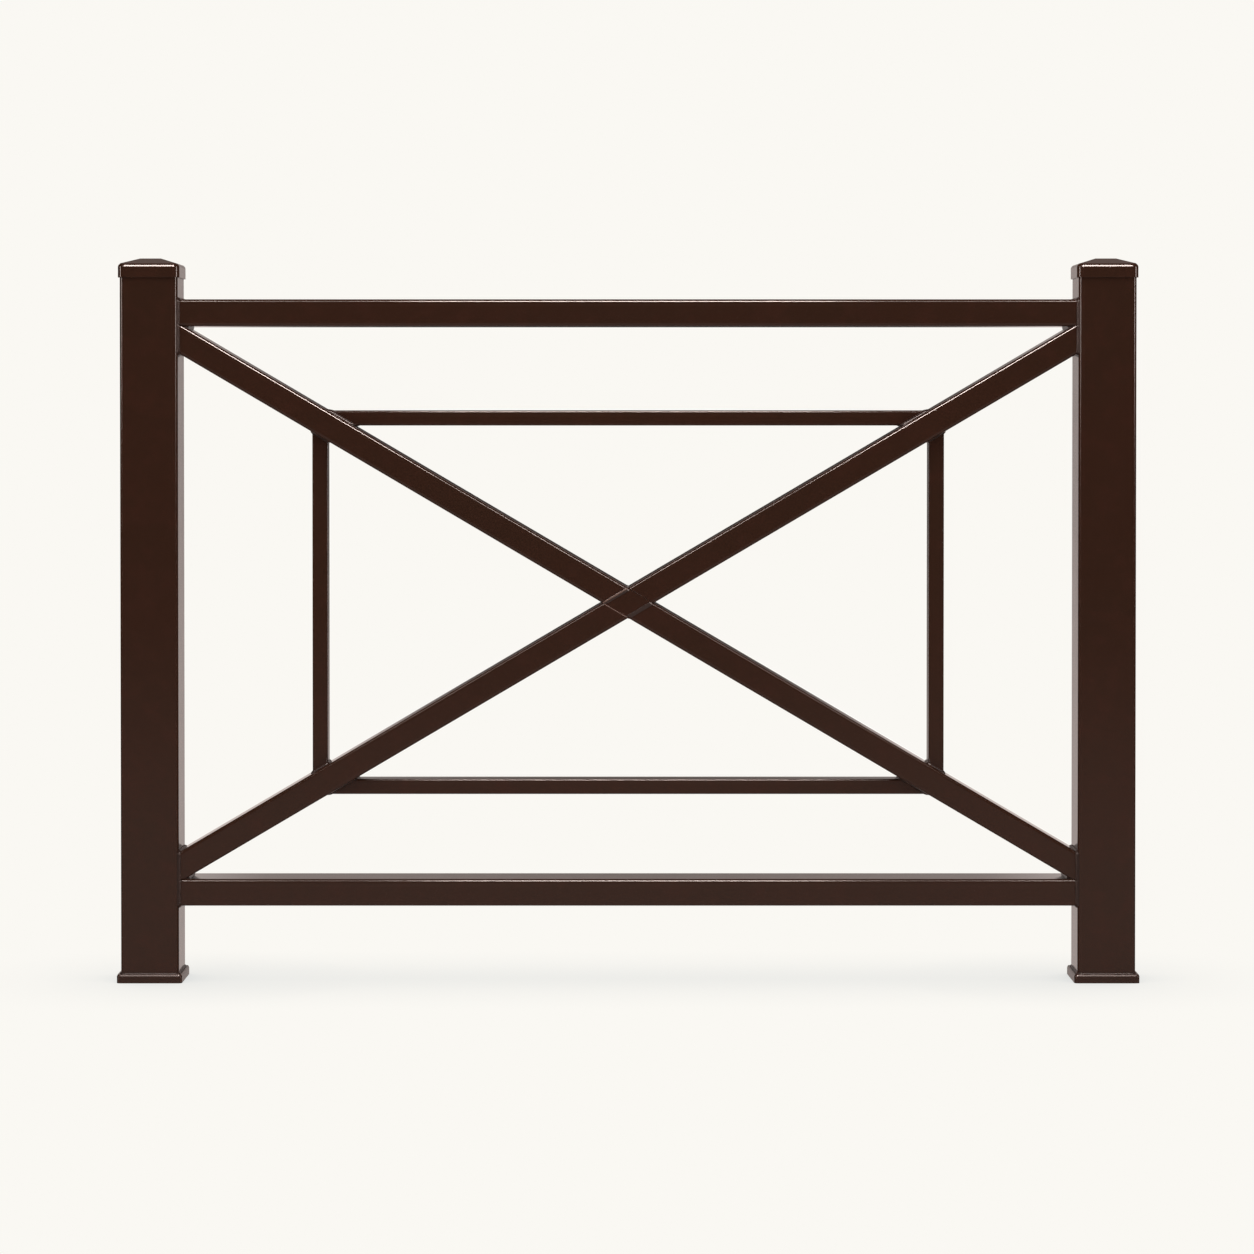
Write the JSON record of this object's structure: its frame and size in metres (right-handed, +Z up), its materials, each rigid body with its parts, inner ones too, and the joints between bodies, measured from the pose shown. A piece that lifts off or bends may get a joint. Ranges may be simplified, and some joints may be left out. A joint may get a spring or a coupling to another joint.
{
  "type": "street barrier",
  "caption": "Welded steel guard-rail bay: capped square posts on foot plates, rails, a crossed brace and an inner rectangle of thinner bars, brown powder coat.",
  "frame": {"origin": "on the flat underside of the left foot plate, on the left post's axis", "axes": "+X along the barrier to the right post, +Y to the back, +Z up"},
  "size_m": [1.411, 0.09, 1],
  "materials": {
    "frame_coat": "satin gloss dark brown powder coat",
    "cap_coat": "satin gloss dark brown powder coat",
    "weld_coat": "satin gloss dark brown powder coat over weld beads"
  },
  "bodies": {
    "root": {"left_post": "frame_coat", "right_post": "frame_coat", "left_foot_plate": "frame_coat", "right_foot_plate": "frame_coat", "left_post_cap": "cap_coat", "right_post_cap": "cap_coat", "top_rail": "frame_coat", "bottom_rail": "frame_coat", "rising_brace": "frame_coat", "falling_brace_upper": "frame_coat", "falling_brace_lower": "frame_coat", "inner_top_bar": "frame_coat", "inner_bottom_bar": "frame_coat", "inner_left_bar": "frame_coat", "inner_right_bar": "frame_coat", "left_foot_weld": "weld_coat", "right_foot_weld": "weld_coat", "top_left_weld": "weld_coat", "top_right_weld": "weld_coat", "bottom_left_weld": "weld_coat", "bottom_right_weld": "weld_coat", "upper_crossing_weld": "weld_coat", "lower_crossing_weld": "weld_coat", "top_bar_welds": "weld_coat", "bottom_bar_welds": "weld_coat", "left_bar_welds": "weld_coat", "right_bar_welds": "weld_coat"}
  },
  "joints": []
}
